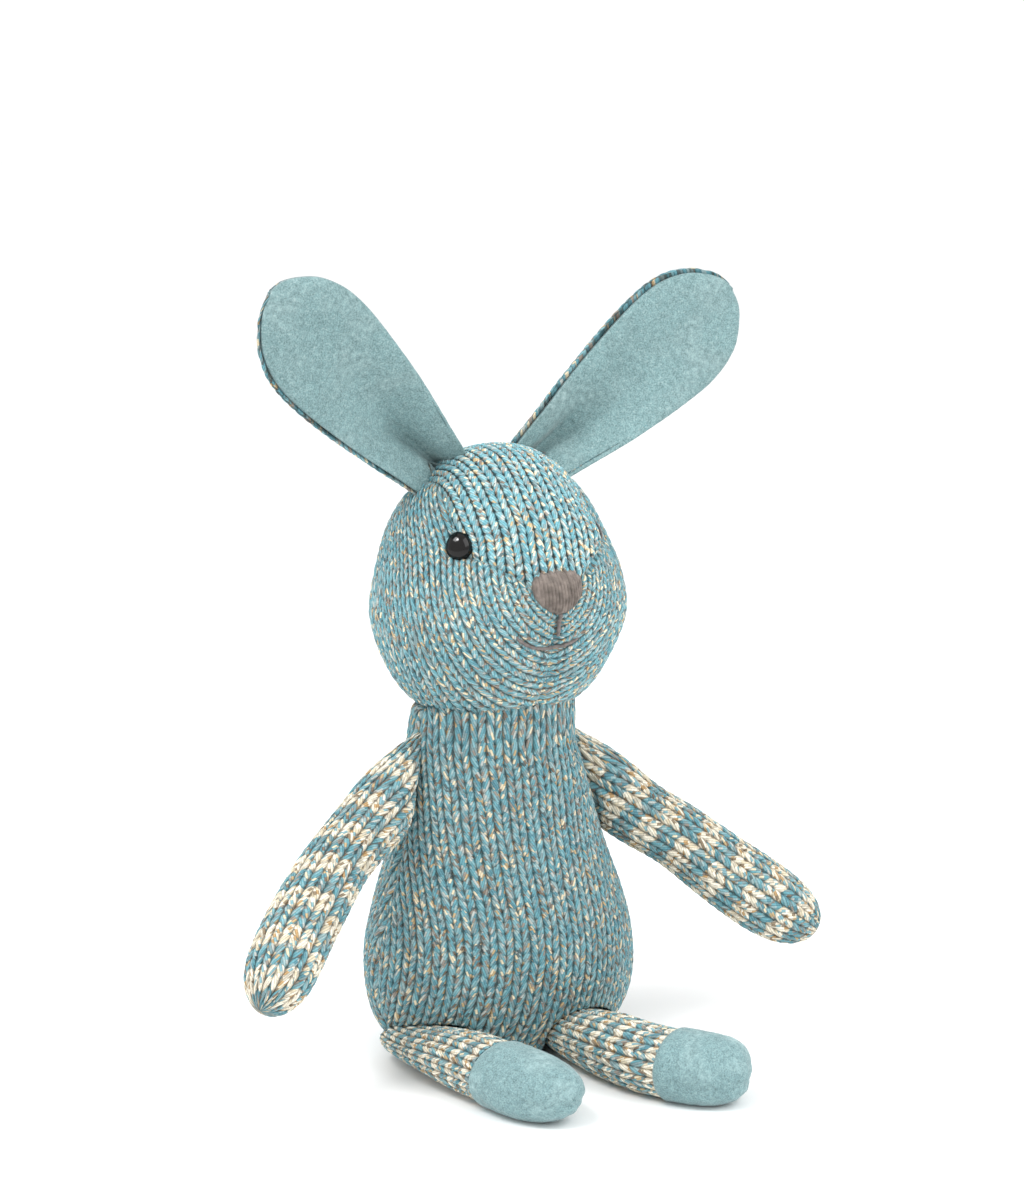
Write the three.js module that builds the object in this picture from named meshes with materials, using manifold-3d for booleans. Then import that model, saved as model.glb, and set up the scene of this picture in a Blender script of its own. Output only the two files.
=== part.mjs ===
// Stuffed knitted bunny rabbit, sitting on the floor with its legs straight out in front.
// Millimetres, +Z up. The bunny faces -Y and its own left side is at +X. The origin lies at the
// middle of the seat, on the floor. Each knitted cover is a thin shell around its own stuffing.
import * as THREE from 'three';
import { mergeVertices } from 'three/addons/utils/BufferGeometryUtils.js';
import Module from 'manifold-3d';

const wasm = await Module();
wasm.setup();

// ---- driving dimensions ----
const GAP = 0.3; // clearance between neighbouring pieces
const KNIT = 1.3; // thickness of the knitted cover
const PLUSH = 1.2; // thickness of the velour foot caps

// half-width against height of the body and of the head, and depth as a share of width
const BODY_PROFILE = [[0, -2.4], [18, -2.2], [27, -0.6], [32.6, 2.2], [36.6, 6.4], [39.4, 13],
  [40.6, 22], [39.9, 32], [37.2, 42], [33.9, 52], [31, 62], [28.4, 72], [25.8, 82],
  [23.2, 88.6], [20.6, 92.2], [16, 93.6], [0, 93.6]];
const BODY_DEPTH = 0.8;
const HEAD_PROFILE = [[0, 96.6], [12, 96.6], [17.6, 97.6], [22, 99.6], [26, 102.8], [30, 107.6],
  [33.6, 113.6], [36, 120], [36.6, 125.5], [35.9, 132], [34.2, 139.5], [31.2, 147.5],
  [26.8, 155.2], [20.4, 162.4], [12.5, 167.6], [6, 169.6], [0, 170]];
const HEAD_DEPTH = 0.85;

const SEAM_TOP = 10; // height where the side seams leave the vertical and run under the belly
const SEAM_UNDER = -16; // how far forward the back panel reaches under the belly
const POUCH_TOP = 34; // top of the weighted pouch in the seat
const LAP = { right: [13, 6.6], left: [0.5, -2.4], top: 18.4 }; // hollows over the legs: [inner, back]

const NECK = { inner: 4, outer: 7, base: 94, top: 95 };

const EYE = { x: 24.3, z: 146.4, normal: [0.651, -0.667, 0.362], radius: 3.9, rise: 3.2,
  shank: 1.1, shankLength: 6.4 };
const WASHER = { outer: 4, from: -3.8, to: -2.8 };
const NOSE = { top: 138, bottom: 126.6, halfWidth: 7, near: GAP, far: 1.5 };
const THREAD = 0.55; // radius of the embroidery and sewing threads
const SMILE = [[-10.6, 119.6], [-7.4, 117.9], [-3.8, 117.1], [0, 116.9], [3.8, 117.1],
  [7.2, 117.9], [9.6, 119.2]];
const PHILTRUM = [[0, 125.4], [0, 122], [0, 118.8]];

// the ears, arms and legs of the two sides do not lie quite alike
const EAR = { x: 20.9, y: 4, z: 164.7, ply: 2,
  axis: { right: [-0.722, -0.125, 0.68], left: [0.785, -0.11, 0.61] } };
const EAR_OUTLINE = [[5.4, 0], [8, 6], [11.6, 18], [14.4, 32], [16.2, 45], [15.6, 56], [12.6, 65],
  [7.6, 71], [0, 74.2]];

const ARM = { x: 28.8, y: 0, z: 76.6, thin: 0.82,
  tip: { right: [-95, -33, 33], left: [90, -33, 23] } };
const ARM_PROFILE = [[0, 1], [0.8, 1], [2.6, 3.8], [6, 8.6], [8.6, 15], [9.8, 25], [10.2, 40],
  [10.6, 58], [9.8, 72], [7.4, 81], [3.4, 85.8], [0, 86.8]];
const LEG = { thin: 0.84,
  hip: { right: [-30, 2, 8.4], left: [17, -7, 8.4] },
  toe: { right: [-28.5, -81, 9.6], left: [13, -90, 9.6] } };
const LEG_PROFILE = [[0, 1.1], [1.6, 1.1], [4.6, 3.4], [7.2, 9], [9, 18], [9.9, 30], [10.3, 44],
  [10.6, 58], [10.2, 68], [8.4, 76], [4.6, 81.4], [0, 82.8]];
const CAP_FROM = 56; // distance along the leg where the velour foot begins
const HIP_BAR = 15; // length of the line of thread at each hip
const SHOULDER_BAR = 4.6;

const SIDES = [['right', -1], ['left', 1]];

// ---- materials ----
const finish = (color, roughness, metalness = 0) =>
  new THREE.MeshStandardMaterial({ color, roughness, metalness });
const MATERIALS = {
  knit: finish(0x8db4ba, 0.9),
  striped: finish(0xb7c4ba, 0.9),
  velour: finish(0x9cc0c1, 0.85),
  stuffing: finish(0xf2f1ec, 1),
  pouch: finish(0xd9d4c8, 0.95),
  thread: finish(0x7f9aa0, 0.8),
  embroidery: finish(0x8e847e, 0.6),
  eye: finish(0x15130f, 0.12),
  washer: finish(0xe8e8e6, 0.45),
};

// ---- solids ----
// A closed three.js geometry as a solid; a mesh built inside out is turned the right way round.
function solid(geometry) {
  const bare = geometry.clone();
  bare.deleteAttribute('normal');
  bare.deleteAttribute('uv');
  const merged = mergeVertices(bare, 1e-4);
  const position = merged.getAttribute('position');
  const triVerts = [];
  const index = merged.index.array;
  let volume = 0;
  const [a, b, c] = [new THREE.Vector3(), new THREE.Vector3(), new THREE.Vector3()];
  for (let i = 0; i < index.length; i += 3) {
    const [p, q, r] = [index[i], index[i + 1], index[i + 2]];
    if (p === q || q === r || p === r) continue;
    triVerts.push(p, q, r);
    a.fromBufferAttribute(position, p);
    b.fromBufferAttribute(position, q);
    c.fromBufferAttribute(position, r);
    volume += a.dot(b.cross(c));
  }
  if (volume < 0) triVerts.reverse();
  return new wasm.Manifold(new wasm.Mesh({
    numProp: 3,
    vertProperties: new Float32Array(position.array),
    triVerts: new Uint32Array(triVerts),
  }));
}

function toGeometry(manifold) {
  const mesh = manifold.getMesh();
  const geometry = new THREE.BufferGeometry();
  geometry.setAttribute('position', new THREE.BufferAttribute(mesh.vertProperties, 3));
  geometry.setIndex(new THREE.BufferAttribute(mesh.triVerts, 1));
  geometry.computeVertexNormals();
  return geometry;
}

function piece(name, manifold, material) {
  const mesh = new THREE.Mesh(toGeometry(manifold), MATERIALS[material]);
  mesh.name = name;
  return mesh;
}

// A smooth version of a [radius, height] profile, moved inward along its normal by inset.
function smoothProfile(points, count, inset = 0) {
  const curve = new THREE.SplineCurve(points.map(([r, h]) => new THREE.Vector2(r, h)));
  const samples = curve.getSpacedPoints(count);
  return samples.map((p, i) => {
    const before = samples[Math.max(i - 1, 0)];
    const after = samples[Math.min(i + 1, count)];
    const along = after.clone().sub(before).normalize();
    const atEnd = i === 0 || i === count;
    const normal = atEnd ? new THREE.Vector2(0, i ? 1 : -1) : new THREE.Vector2(along.y, -along.x);
    const moved = p.clone().addScaledVector(normal, -inset);
    return new THREE.Vector2(atEnd ? 0 : Math.max(moved.x, 0.02), moved.y);
  });
}

// A profile turned about the Z axis, then narrowed in Y.
function turned(profile, segments, depth = 1) {
  const geometry = new THREE.LatheGeometry(profile, segments);
  geometry.rotateX(Math.PI / 2);
  geometry.scale(1, depth, 1);
  return geometry;
}

function block(x0, x1, y0, y1, z0, z1) {
  const geometry = new THREE.BoxGeometry(x1 - x0, y1 - y0, z1 - z0);
  geometry.translate((x0 + x1) / 2, (y0 + y1) / 2, (z0 + z1) / 2);
  return solid(geometry);
}

function polygon(points) {
  return new THREE.Shape(points.map(([u, v]) => new THREE.Vector2(u, v)));
}

// An outline drawn in Y and Z, as wide as reach to either side.
function sidePrism(points, reach = 60) {
  const geometry = new THREE.ExtrudeGeometry(polygon(points), { depth: 2 * reach, bevelEnabled: false });
  geometry.translate(0, 0, -reach);
  geometry.rotateY(Math.PI / 2);
  geometry.rotateX(Math.PI / 2);
  return solid(geometry);
}

// An outline drawn in X and Z, from y0 to y1.
function frontPrism(points, y0, y1) {
  const geometry = new THREE.ExtrudeGeometry(polygon(points), { depth: y1 - y0, bevelEnabled: false });
  geometry.rotateX(Math.PI / 2);
  geometry.translate(0, y1, 0);
  return solid(geometry);
}

function bar(radius, from, to, segments = 12) {
  const geometry = new THREE.CylinderGeometry(radius, radius, to - from, segments);
  geometry.rotateX(Math.PI / 2);
  geometry.translate(0, 0, (from + to) / 2);
  return solid(geometry);
}

// A thread of round section along points.
function strand(points, radius, steps) {
  const section = new THREE.Shape();
  section.absarc(0, 0, radius, 0, 2 * Math.PI, false);
  const path = new THREE.CatmullRomCurve3(points);
  return solid(new THREE.ExtrudeGeometry(section, { steps, curveSegments: 4, extrudePath: path }));
}

// The turn that lays local +Z along axis and local +X as near to wide as it can be.
function alongAxis(axis, wide) {
  const z = new THREE.Vector3(...axis).normalize();
  const y = z.clone().cross(new THREE.Vector3(...wide)).normalize();
  const x = y.clone().cross(z);
  return new THREE.Quaternion().setFromRotationMatrix(new THREE.Matrix4().makeBasis(x, y, z));
}

function placed(manifold, position, turn) {
  const geometry = toGeometry(manifold);
  geometry.applyQuaternion(turn);
  geometry.translate(position.x, position.y, position.z);
  return solid(geometry);
}

// ---- body: two knitted panels, stuffing above and a weighted pouch in the seat ----
function buildBody() {
  const laps = (extra) => SIDES.map(([name, side]) => {
    const [inner, back] = LAP[name];
    const near = side * (inner - extra);
    const [x0, x1] = [Math.min(near, side * 70), Math.max(near, side * 70)];
    return block(x0, x1, -70, back + extra, -10, LAP.top + extra);
  });
  const layer = (inset) => {
    const form = solid(turned(smoothProfile(BODY_PROFILE, 17, inset), 26, BODY_DEPTH));
    const [right, left] = laps(inset);
    return form.subtract(right).subtract(left).intersect(block(-60, 60, -60, 60, inset, 120));
  };
  const shell = layer(0).subtract(layer(KNIT));
  const edge = (shift) => [[shift, 200], [shift, SEAM_TOP], [SEAM_UNDER + shift, -1],
    [SEAM_UNDER + shift, -20]];
  const front = sidePrism([...edge(-GAP / 2), [-90, -20], [-90, 200]]);
  const back = sidePrism([...edge(GAP / 2), [90, -20], [90, 200]]);
  const filling = layer(KNIT + 1.4 * GAP);
  const group = new THREE.Group();
  group.add(
    piece('body_front_panel', shell.intersect(front), 'knit'),
    piece('body_back_panel', shell.intersect(back), 'knit'),
    piece('body_stuffing', filling.intersect(block(-60, 60, -60, 60, POUCH_TOP + GAP, 120)),
      'stuffing'),
    piece('seat_pellet_pouch', filling.intersect(block(-60, 60, -60, 60, -5, POUCH_TOP)), 'pouch'),
  );
  return group;
}

function buildNeck() {
  const { inner, outer, base, top } = NECK;
  const ring = [[inner, base], [outer, base], [outer, top], [inner, top], [inner, base]];
  const geometry = turned(ring.map(([r, h]) => new THREE.Vector2(r, h)), 20);
  return piece('neck_drawstring', solid(geometry), 'thread');
}

// ---- head: forehead gusset, two cheek panels, stuffing, eyes and embroidery ----
function headRadius(height) {
  const rows = HEAD_PROFILE.slice(1);
  const i = rows.findIndex(([, h], k) => k > 0 && h >= height);
  const [[r0, h0], [r1, h1]] = [rows[i - 1], rows[i]];
  return r0 + ((r1 - r0) * (height - h0)) / (h1 - h0);
}

// A point on the front of the head, standing proud of it.
function onFace(x, z, proud) {
  return new THREE.Vector3(x, -HEAD_DEPTH * Math.sqrt(headRadius(z) ** 2 - x * x) - proud, z);
}

function eyeForms() {
  const { radius, rise, shank, shankLength } = EYE;
  const form = (grow) => {
    const dome = [[0, -shankLength - grow], [shank + grow, -shankLength - grow],
      [shank + grow, GAP - grow], [radius + grow, GAP - grow], [radius + grow, 0.9]];
    for (const angle of [22, 44, 66]) {
      const t = (angle * Math.PI) / 180;
      dome.push([(radius + grow) * Math.cos(t), 0.9 + (rise - 0.9 + grow) * Math.sin(t)]);
    }
    dome.push([0, rise + grow]);
    return solid(turned(dome.map(([r, h]) => new THREE.Vector2(r, h)), 16));
  };
  const { outer, from, to } = WASHER;
  const hole = shank + GAP;
  const ring = [[hole, from], [outer, from], [outer, to], [hole, to], [hole, from]];
  return {
    eye: form(0),
    room: form(GAP),
    washer: solid(turned(ring.map(([r, h]) => new THREE.Vector2(r, h)), 16)),
    pocket: bar(outer + GAP, -shankLength - 2 * GAP, 4, 16),
  };
}

function buildHead() {
  const layer = (inset) => solid(turned(smoothProfile(HEAD_PROFILE, 15, inset), 24, HEAD_DEPTH));
  const { eye, room, washer, pocket } = eyeForms();
  const eyePlace = (side) => onFace(side * EYE.x, EYE.z, 0);
  const eyeTurn = (side) => {
    const [nx, ny, nz] = EYE.normal;
    return alongAxis([side * nx, ny, nz], [0, 0, 1]);
  };

  let shell = layer(0).subtract(layer(KNIT));
  let stuffing = layer(KNIT + 1.4 * GAP);
  for (const [, side] of SIDES) {
    shell = shell.subtract(placed(room, eyePlace(side), eyeTurn(side)));
    stuffing = stuffing.subtract(placed(pocket, eyePlace(side), eyeTurn(side)));
  }

  // the gusset is narrow at the nose, widest at the eyes, and runs over the crown to the nape
  const forehead = (grow) => [[-6.6 - grow, 131], [6.6 + grow, 131], [25 + grow, 146.4],
    [22 + grow, 158], [20 + grow, 175], [-20 - grow, 175], [-22 - grow, 158],
    [-25 - grow, 146.4]];
  const crown = (grow) => [[-9 - grow, 90], [9 + grow, 90], [20 + grow, 140], [20 + grow, 175],
    [-20 - grow, 175], [-20 - grow, 140]];
  const strip = (grow) => frontPrism(forehead(grow), -50, 0.05)
    .add(frontPrism(crown(grow), -0.05, 50));
  const gusset = shell.intersect(strip(0));
  const cheeks = shell.subtract(strip(GAP));

  const noseOutline = new THREE.Shape();
  const { top, bottom, halfWidth } = NOSE;
  noseOutline.moveTo(0, bottom);
  noseOutline.bezierCurveTo(3.6, bottom + 0.6, halfWidth, top - 5.6, halfWidth, top - 3.4);
  noseOutline.bezierCurveTo(halfWidth, top - 0.6, 4.6, top, 0, top);
  noseOutline.bezierCurveTo(-4.6, top, -halfWidth, top - 0.6, -halfWidth, top - 3.4);
  noseOutline.bezierCurveTo(-halfWidth, top - 5.6, -3.6, bottom + 0.6, 0, bottom);
  const nosePrism = frontPrism(noseOutline.getPoints(6).map(({ x, y }) => [x, y]), -50, -15);
  const nose = layer(-NOSE.far).subtract(layer(-NOSE.near)).intersect(nosePrism);
  const onto = (points) => points.map(([x, z]) => onFace(x, z, THREAD + 2 * GAP));

  const group = new THREE.Group();
  group.add(
    piece('head_gusset', gusset, 'knit'),
    piece('head_stuffing', stuffing, 'stuffing'),
    piece('nose_embroidery', nose, 'embroidery'),
    piece('philtrum_stitch', strand(onto(PHILTRUM), THREAD, 6), 'embroidery'),
    piece('smile_stitch', strand(onto(SMILE), THREAD, 10), 'embroidery'),
  );
  for (const [name, side] of SIDES) {
    const half = block(Math.min(side * 0.15, side * 80), Math.max(side * 0.15, side * 80),
      -80, 80, 80, 190);
    group.add(piece(`head_side_${name}`, cheeks.intersect(half), 'knit'));
    const socket = new THREE.Group();
    socket.position.copy(eyePlace(side));
    socket.quaternion.copy(eyeTurn(side));
    socket.add(piece(`eye_${name}`, eye, 'eye'), piece(`eye_washer_${name}`, washer, 'washer'));
    group.add(socket);
  }
  return group;
}

// ---- ears: a velour lining in front of a knitted back ----
function buildEar(name, side) {
  const edge = new THREE.SplineCurve(EAR_OUTLINE.map(([w, l]) => new THREE.Vector2(w, l)));
  const right = edge.getSpacedPoints(16).map(({ x, y }) => [Math.max(x, 0), y]);
  const left = right.slice(0, -1).reverse().map(([w, l]) => [-w, l]);
  const lining = frontPrism([...right, ...left], -EAR.ply - GAP / 2, -GAP / 2);
  const back = frontPrism([...right, ...left], GAP / 2, EAR.ply + GAP / 2);
  const [ax, , az] = EAR.axis[name];
  const ear = new THREE.Group();
  ear.position.set(side * EAR.x, EAR.y, EAR.z);
  ear.quaternion.copy(alongAxis(EAR.axis[name], [az, 0, -ax]));
  ear.add(piece(`ear_${name}_lining`, lining, 'velour'), piece(`ear_${name}_back`, back, 'knit'));
  return ear;
}

// ---- limbs: lathe forms along local +Z, flattened in local Y ----
function limbLayer(profile, thin, inset) {
  return solid(turned(smoothProfile(profile, 13, inset), 14, thin));
}

function buildArm(name, side) {
  const layer = (inset) => limbLayer(ARM_PROFILE, ARM.thin, inset);
  const inner = layer(KNIT).add(bar(0.5, -1, 8, 8));
  const root = [side * ARM.x, ARM.y, ARM.z];
  const axis = ARM.tip[name].map((v, i) => v - root[i]);
  const arm = new THREE.Group();
  arm.position.set(...root);
  arm.quaternion.copy(alongAxis(axis, [side * 0.5, 0, 0.85]));
  arm.add(
    piece(`arm_${name}_cover`, layer(0).subtract(inner), 'striped'),
    piece(`arm_${name}_stuffing`, layer(KNIT + 1.4 * GAP), 'stuffing'),
  );
  const tie = piece(`arm_${name}_seam_thread`, bar(THREAD, -0.6, SHOULDER_BAR), 'thread');
  tie.position.copy(arm.position);
  tie.quaternion.copy(alongAxis([-side * 0.26, 0, 0.966], [0, 1, 0]));
  return [arm, tie];
}

function buildLeg(name) {
  const layer = (inset) => limbLayer(LEG_PROFILE, LEG.thin, inset);
  const shell = (thickness) => layer(0).subtract(layer(thickness));
  const hip = LEG.hip[name];
  const leg = new THREE.Group();
  leg.position.set(...hip);
  leg.quaternion.copy(alongAxis(LEG.toe[name].map((v, i) => v - hip[i]), [1, 0, 0]));
  leg.add(
    piece(`leg_${name}_cover`, shell(KNIT).intersect(block(-30, 30, -30, 30, -5, CAP_FROM)),
      'striped'),
    piece(`leg_${name}_foot_cap`,
      shell(PLUSH).intersect(block(-30, 30, -30, 30, CAP_FROM + GAP, 120)), 'velour'),
    piece(`leg_${name}_stuffing`, layer(KNIT + 1.4 * GAP), 'stuffing'),
  );
  const tie = piece(`leg_${name}_seam_thread`, bar(THREAD, -HIP_BAR / 2, HIP_BAR / 2), 'thread');
  tie.position.copy(leg.position);
  tie.quaternion.copy(alongAxis([1, 0, 0], [0, 1, 0]));
  return [leg, tie];
}

const bunny = new THREE.Group();
bunny.add(buildBody(), buildNeck(), buildHead());
for (const [name, side] of SIDES) {
  bunny.add(buildEar(name, side), ...buildArm(name, side), ...buildLeg(name));
}

export default bunny;
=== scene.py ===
"""Looks of a stuffed knitted bunny rabbit that sits with its legs out in front.

Shapes are worked out in millimetres, as grids of points, and become meshes in metres. Each knitted
piece carries a UV map called "stitch": u counts wales (columns of stitches) and v counts courses
(rows). The same stitch formula raises the yarn in the mesh and colours it in the material, where
it also paints shade into the gaps between stitches.
"""

import math

import bpy
import numpy as np
from mathutils import Matrix, Vector


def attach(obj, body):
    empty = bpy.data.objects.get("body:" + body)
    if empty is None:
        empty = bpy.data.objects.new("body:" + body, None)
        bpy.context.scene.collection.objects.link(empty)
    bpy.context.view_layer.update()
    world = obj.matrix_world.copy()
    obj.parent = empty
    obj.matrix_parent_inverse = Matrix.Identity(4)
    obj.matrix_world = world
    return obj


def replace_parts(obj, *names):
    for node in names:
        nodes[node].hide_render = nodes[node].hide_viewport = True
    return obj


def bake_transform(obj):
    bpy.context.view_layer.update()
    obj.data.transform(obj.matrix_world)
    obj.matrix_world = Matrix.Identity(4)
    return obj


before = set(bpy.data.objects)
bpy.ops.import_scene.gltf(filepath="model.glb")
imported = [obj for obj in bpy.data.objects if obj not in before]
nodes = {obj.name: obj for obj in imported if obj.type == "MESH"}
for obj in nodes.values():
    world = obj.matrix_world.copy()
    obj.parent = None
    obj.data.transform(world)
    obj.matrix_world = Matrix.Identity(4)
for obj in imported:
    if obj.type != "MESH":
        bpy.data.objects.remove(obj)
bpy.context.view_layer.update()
SIDES = (("right", -1), ("left", 1))

# ---- the stitch ----
WALE, COURSE = 4.6, 3.05  # nominal width and height of a stitch
YARN_MID = (1.2, 1.4)  # middle of one leg of a stitch, from the wale's centre line
YARN_WAY = (-0.243, 0.970)  # direction of that leg
YARN_HALF = (1.0, 2.25)  # half its width and half its length
YARN_RISE = 0.62  # how far the yarn stands above the gaps


def smooth(x, a, b):
    t = np.clip((x - a) / (b - a), 0, 1)
    return t * t * (3 - 2 * t)


def bell(x, width):
    return np.exp(-((x / width) ** 2))


def through(points, count):
    """A smooth curve through points, as count points spaced evenly along it."""
    p = np.array(points, float)
    ends = np.vstack([2 * p[0] - p[1], p, 2 * p[-1] - p[-2]])
    t = np.linspace(0, 1, 24, endpoint=False)[:, None]
    parts = []
    for i in range(len(p) - 1):
        a, b, c, d = ends[i : i + 4]
        parts.append(
            0.5 * (2 * b + (c - a) * t + (2 * a - 5 * b + 4 * c - d) * t**2
                   + (3 * b - a - 3 * c + d) * t**3)
        )
    dense = np.vstack(parts + [p[-1:]])
    run = lengths(dense)
    s = np.linspace(0, run[-1], count)
    return np.stack([np.interp(s, run, dense[:, k]) for k in range(dense.shape[1])], 1)


def lengths(points):
    """Distance along a line of points, from its first."""
    steps = np.linalg.norm(np.diff(points, axis=0), axis=1)
    return np.concatenate([[0], np.cumsum(steps)])


def at(knots, x):
    """The smooth curve through (x, y) knots, read at x."""
    curve = through(knots, 300)
    return np.interp(x, curve[:, 0], curve[:, 1])


def unit(v):
    v = np.asarray(v, float)
    return v / np.linalg.norm(v, axis=-1, keepdims=True)


def wobble(p, size, seed=0.0):
    """A smooth value from -1 to 1 that changes over about size mm."""
    x, y, z = (p[..., k] * (2 * math.pi / size) for k in range(3))
    return (
        np.sin(x * 0.91 + y * 0.37 + 1.3 * seed)
        + np.sin(y * 0.83 - z * 0.52 + 2.1 * seed + 1)
        + np.sin(z * 0.97 + x * 0.41 + 0.7 * seed + 2)
        + np.sin((x - y + z) * 0.61 + 3.3 * seed)
    ) / 4


def stitch_height(w, c):
    """Height of the yarn, 0 to 1, at wale w and course c."""
    x = np.abs(w - np.round(w)) * WALE
    high = np.zeros_like(x)
    for k in (-1, 0, 1):
        y = (c - np.floor(c) - k) * COURSE
        dx, dy = x - YARN_MID[0], y - YARN_MID[1]
        across = dx * YARN_WAY[1] - dy * YARN_WAY[0]
        along = dx * YARN_WAY[0] + dy * YARN_WAY[1]
        high = np.maximum(high, 1 - (across / YARN_HALF[0]) ** 2 - (along / YARN_HALF[1]) ** 2)
    return np.sqrt(high)


def grid_normals(p, inside, closed=False):
    """Unit normals of a grid of points, facing away from inside."""
    if closed:  # the last column repeats the first
        q = p[:, :-1]
        across = np.roll(q, -1, 1) - np.roll(q, 1, 1)
        along = np.gradient(q, axis=0)
        n = np.cross(across, along)
        n = np.concatenate([n, n[:, :1]], 1)
    else:
        n = np.cross(np.gradient(p, axis=1), np.gradient(p, axis=0))
    size = np.linalg.norm(n, axis=2, keepdims=True)
    n = n / np.maximum(size, 1e-9)
    return n if np.sum(n * (p - inside)) > 0 else -n


def loosen(w, c, p):
    """Stitch coordinates a little uneven, as in hand-fed yarn."""
    return w + 0.05 * wobble(p, 9, 4), c + 0.16 * wobble(p, 13, 7) + 0.06 * wobble(p, 4.7, 2)


def knitted(p, n, w, c, edge=None, rise=YARN_RISE):
    """The grid with its stitches raised. They fade near a seam, which is edge away from a point."""
    fade = 1 if edge is None else smooth(edge, 0.2, 1.3)
    return p + n * ((stitch_height(w, c) - 0.6) * rise * fade)[..., None]


def grid_object(name, p, w, c, material, apex=None):
    """A mesh from a grid of points. Points in one place are joined. Open edges close onto apex."""
    rows, cols = p.shape[:2]
    number = np.arange(rows * cols).reshape(rows, cols)
    corners = [number[:-1, :-1], number[:-1, 1:], number[1:, 1:], number[1:, :-1]]
    quads = np.stack([k.ravel() for k in corners], 1)
    uv = np.stack([w, c], -1).reshape(-1, 2)[quads]
    _, first, same = np.unique(
        np.round(p.reshape(-1, 3) / 2e-3).astype(int), axis=0, return_index=True,
        return_inverse=True,
    )
    verts = p.reshape(-1, 3)[first]
    quads = same.ravel()[quads]
    flat = quads == np.roll(quads, -1, 1)
    whole = ~flat.any(1) & (quads[:, 0] != quads[:, 2]) & (quads[:, 1] != quads[:, 3])
    faces, loops = [quads[whole]], [uv[whole].reshape(-1, 2)]
    for k in range(4):
        pick = flat[:, k] & (flat.sum(1) == 1)
        keep = [j for j in range(4) if j != k]
        faces.append(quads[pick][:, keep])
        loops.append(uv[pick][:, keep].reshape(-1, 2))
    edges = np.concatenate([np.stack([f, np.roll(f, -1, 1)], -1).reshape(-1, 2) for f in faces])
    code = edges[:, 0] * len(verts) + edges[:, 1]
    back = edges[:, 1] * len(verts) + edges[:, 0]
    rim = edges[~np.isin(back, code)]
    if apex is not None and len(rim):
        fan = np.column_stack([rim[:, 1], rim[:, 0], np.full(len(rim), len(verts))])
        verts = np.vstack([verts, apex])
        faces.append(fan)
        loops.append(np.tile([0.5, 0.5], (len(fan) * 3, 1)))
    tris = np.concatenate([faces[0][:, [0, 1, 2]], faces[0][:, [0, 2, 3]], *faces[1:]])
    a, b, d = (verts[tris[:, k]] for k in range(3))
    if np.sum(a * np.cross(b, d)) < 0:
        faces = [f[:, ::-1] for f in faces]
        sizes = [4] + [3] * (len(faces) - 1)
        loops = [u.reshape(-1, s, 2)[:, ::-1].reshape(-1, 2) for u, s in zip(loops, sizes)]
    mesh = bpy.data.meshes.new(name)
    mesh.from_pydata((verts * 0.001).tolist(), [], [f for part in faces for f in part.tolist()])
    layer = mesh.uv_layers.new(name="stitch")
    layer.data.foreach_set("uv", np.concatenate(loops).astype(np.float32).ravel())
    mesh.polygons.foreach_set("use_smooth", [True] * len(mesh.polygons))
    mesh.materials.append(material)
    mesh.update()
    obj = bpy.data.objects.new(name, mesh)
    bpy.context.scene.collection.objects.link(obj)
    return obj


# ---- materials ----
def linear(colour):
    """sRGB, 0 to 255, as the linear colour that Blender uses."""
    c = np.array(colour, float) / 255
    return tuple(np.where(c <= 0.04045, c / 12.92, ((c + 0.055) / 1.055) ** 2.4)) + (1.0,)


class Nodes:
    """Short ways to add shader nodes. An input is a number or another node's output."""

    def __init__(self, name):
        self.material = bpy.data.materials.new(name)
        self.material.use_nodes = True
        self.tree = self.material.node_tree
        self.shader = self.tree.nodes["Principled BSDF"]

    def add(self, kind, inputs=(), out=0, **settings):
        node = self.tree.nodes.new(kind)
        for key, value in settings.items():
            setattr(node, key, value)
        for key, value in dict(inputs).items():
            socket = node.inputs[key]
            if isinstance(value, bpy.types.NodeSocket):
                self.tree.links.new(value, socket)
            else:
                socket.default_value = value
        return node.outputs[out]

    def math(self, kind, *values, clamp=False):
        return self.add("ShaderNodeMath", enumerate(values), operation=kind, use_clamp=clamp)

    def ramp(self, value, stops, interpolation="LINEAR"):
        """A colour ramp with (position, sRGB colour) stops."""
        node = self.tree.nodes.new("ShaderNodeValToRGB")
        node.color_ramp.interpolation = interpolation
        band = node.color_ramp.elements
        while len(band) < len(stops):
            band.new(1)
        for element, (place, colour) in zip(band, stops):
            element.position = place
            element.color = linear(colour)
        self.tree.links.new(value, node.inputs[0])
        return node.outputs[0]

    def mix(self, share, a, b, blend="MIX"):
        return self.add(
            "ShaderNodeMix", {0: share, 6: a, 7: b}, out=2, data_type="RGBA", blend_type=blend
        )

    def noise(self, scale, detail=2.0, out=0, roughness=0.5):
        place = self.add("ShaderNodeTexCoord", out=3)
        return self.add(
            "ShaderNodeTexNoise",
            {"Vector": place, "Scale": scale, "Detail": detail, "Roughness": roughness}, out=out,
        )

    def bump(self, height, distance, strength=1.0, normal=None):
        inputs = {"Height": height, "Distance": distance, "Strength": strength}
        if normal is not None:
            inputs["Normal"] = normal
        return self.add("ShaderNodeBump", inputs)

    def finish(self, colour, normal=None, roughness=0.9, **sockets):
        for key, value in {"Base Color": colour, "Roughness": roughness, "Normal": normal}.items():
            if isinstance(value, bpy.types.NodeSocket):
                self.tree.links.new(value, self.shader.inputs[key])
            elif value is not None:
                self.shader.inputs[key].default_value = value
        for key, value in sockets.items():
            self.shader.inputs[key.replace("_", " ")].default_value = value
        return self.material


def grey(value):
    return (value, value, value, 1.0)


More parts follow.
